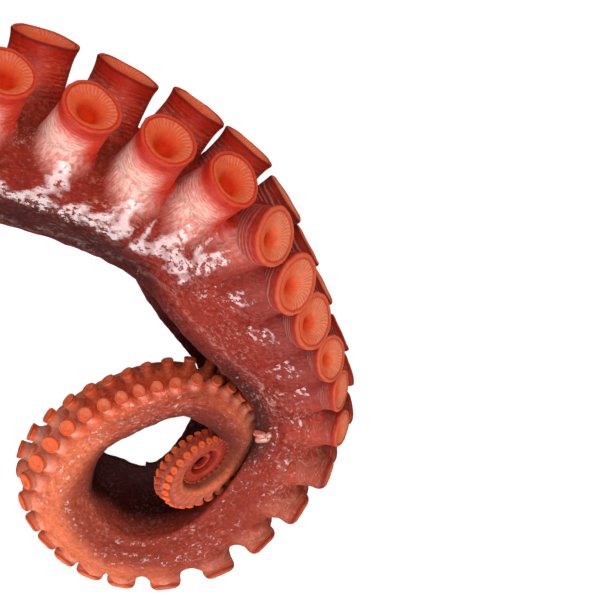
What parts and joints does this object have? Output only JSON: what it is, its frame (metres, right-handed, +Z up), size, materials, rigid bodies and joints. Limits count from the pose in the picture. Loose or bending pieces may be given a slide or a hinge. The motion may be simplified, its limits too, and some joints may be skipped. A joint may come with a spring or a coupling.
{
  "type": "cooked octopus arm",
  "caption": "Cooked octopus arm, cut off at its root and lying curled on its side, with two rows of suckers on the outside of the coil and a tip that winds into a small ring.",
  "frame": {"origin": "the middle of the arm's outline on the surface it lies on", "axes": "+Y from the root's side of the coil to the far loop, +X towards the cut root, +Z up from the surface"},
  "size_m": [0.1124, 0.171, 0.0399],
  "materials": {
    "octopus_arm": "wet, glossy cooked skin"
  },
  "bodies": {
    "root": {"octopus_arm": "octopus_arm"}
  },
  "joints": []
}
